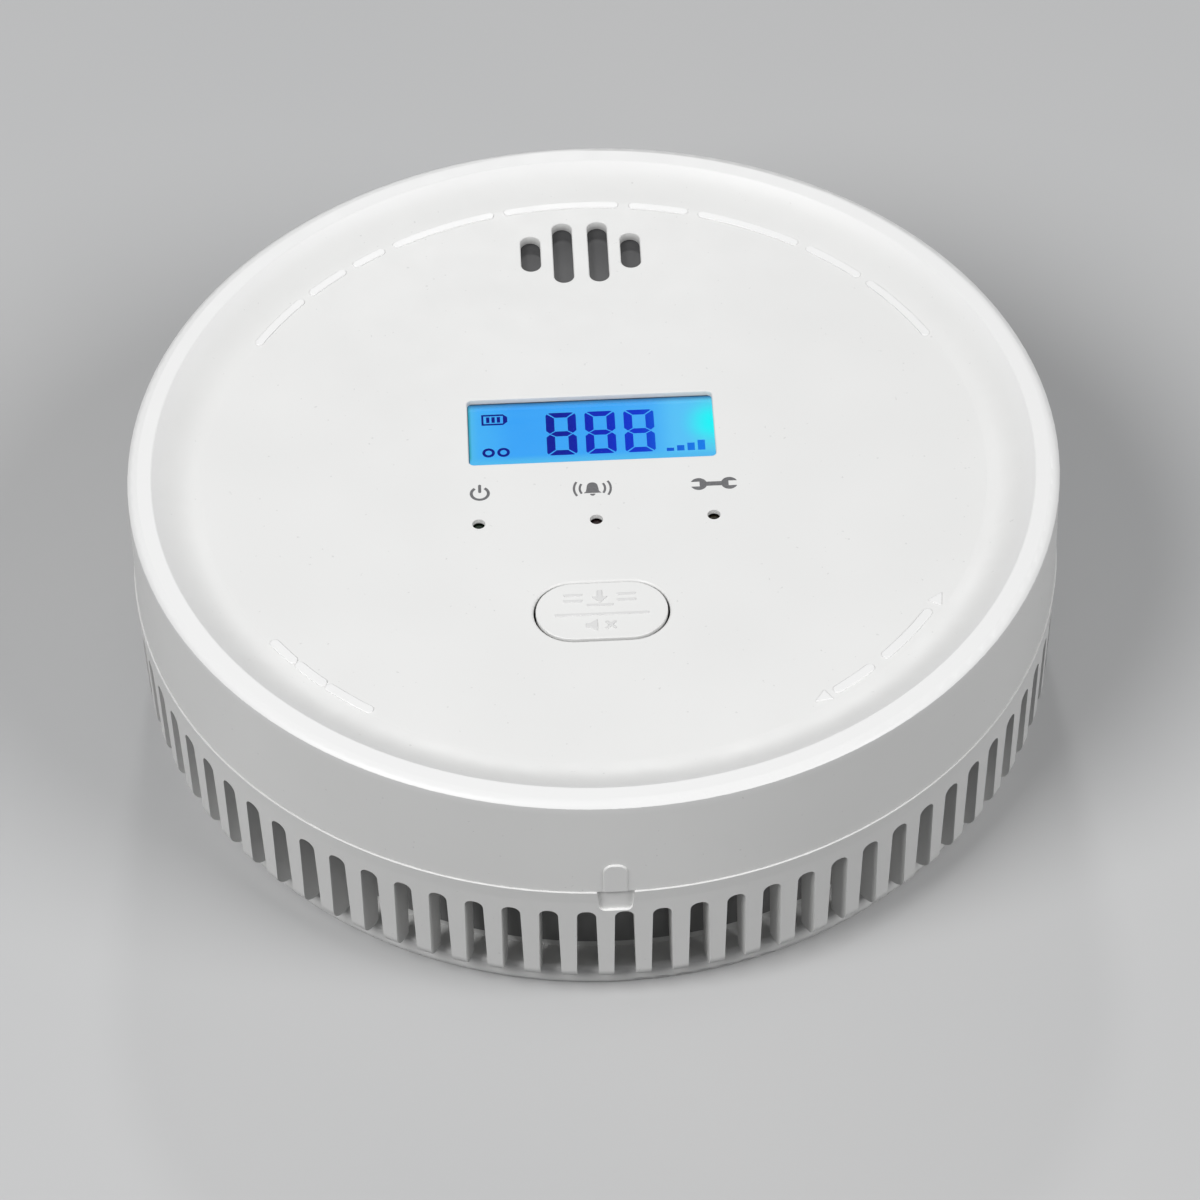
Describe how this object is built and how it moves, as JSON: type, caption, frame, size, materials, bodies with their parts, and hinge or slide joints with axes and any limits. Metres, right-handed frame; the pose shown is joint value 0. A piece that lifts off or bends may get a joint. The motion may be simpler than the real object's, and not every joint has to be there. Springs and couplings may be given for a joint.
{
  "type": "carbon monoxide detector",
  "caption": "Round carbon monoxide detector with a small display, test button and sounder slots, a finned vented skirt and a twist-off wall bracket.",
  "frame": {"origin": "centre of the mounting bracket's flat back, which lies on the wall, ceiling or table", "axes": "+Z out of the front face; +X to the right along the display as it is read; +Y up the face, from the display towards the sounder slots"},
  "size_m": [0.107, 0.107, 0.0335],
  "materials": {
    "cover_abs": "moulded satin white ABS",
    "housing_abs": "moulded satin white ABS",
    "bracket_abs": "moulded satin white ABS",
    "button_abs": "moulded satin white ABS",
    "clear_window": "clear polished acrylic",
    "lcd": "blue backlit display glass",
    "light_guide": "frosted light guide",
    "blue_led": "small side-lit lamp",
    "elastomer": "layered contact elastomer",
    "holder_plastic": "white plastic",
    "black_plastic": "black moulded plastic",
    "steel": "nickel-plated steel",
    "solder": "tinned leads",
    "green_lamp": "tinted epoxy",
    "red_lamp": "tinted epoxy",
    "yellow_lamp": "tinted epoxy",
    "dark_plastic": "dark grey moulded plastic",
    "brass": "rolled brass",
    "ceramic": "silvered ceramic",
    "wire_red": "red insulation",
    "wire_black": "black insulation",
    "foam": "closed-cell foam",
    "felt": "thin filter felt",
    "board_laminate": "green solder mask",
    "chip_ceramic": "chip resistors and capacitors",
    "copper_coil": "enamelled copper on a ferrite drum",
    "crystal_can": "drawn steel can",
    "capacitor_can": "aluminium can",
    "label_film": "blank silver label film",
    "cell_jacket": "plain battery jacket"
  },
  "bodies": {
    "bracket": {"mounting_bracket": "bracket_abs"},
    "detector": {"front_cover": "cover_abs", "rear_housing": "housing_abs", "display_window": "clear_window", "lcd_glass": "lcd", "backlight_guide": "light_guide", "backlight_led": "blue_led", "lcd_contact_strip": "elastomer", "lcd_holder": "holder_plastic", "switch_body": "black_plastic", "switch_cover_plate": "steel", "switch_legs": "solder", "power_led": "green_lamp", "alarm_led": "red_lamp", "fault_led": "yellow_lamp", "led_leads": "solder", "sounder_housing": "dark_plastic", "piezo_plate": "brass", "piezo_ceramic": "ceramic", "sounder_wire_red": "wire_red", "sounder_wire_black": "wire_black", "co_sensor_body": "holder_plastic", "co_sensor_cap": "steel", "co_sensor_pins": "solder", "sensor_gasket": "foam", "dust_filter": "felt", "circuit_board": "board_laminate", "microcontroller": "black_plastic", "microcontroller_pins": "solder", "electrolytic_capacitor": "capacitor_can", "boost_coil": "copper_coil", "crystal": "crystal_can", "chip_components": "chip_ceramic", "label_plate": "label_film", "battery_1": "cell_jacket", "battery_2": "cell_jacket", "battery_3": "cell_jacket", "positive_terminal": "steel", "negative_terminal": "steel", "series_link_left": "steel", "series_link_right": "steel", "battery_springs": "steel", "case_screws": "steel", "board_screws": "steel"},
    "button": {"test_button": "button_abs"},
    "plunger": {"switch_plunger": "black_plastic"}
  },
  "joints": [
    {"name": "bracket_twist", "type": "hinge", "parent": "bracket", "child": "detector", "pos_m": [0, 0, 0], "axis": [0, 0, 1], "range_deg": [0, 15]},
    {"name": "button_press", "type": "slide", "parent": "detector", "child": "button", "axis": [0, 0, -1], "range_m": [0, 0.0005], "stiffness_N_per_m": 1500, "springref_m": -0.0003},
    {"name": "plunger_press", "type": "slide", "parent": "detector", "child": "plunger", "axis": [0, 0, -1], "range_m": [0, 0.0005]}
  ],
  "couplings": [
    {"joint": "plunger_press", "follows": "button_press", "ratio": 1}
  ]
}
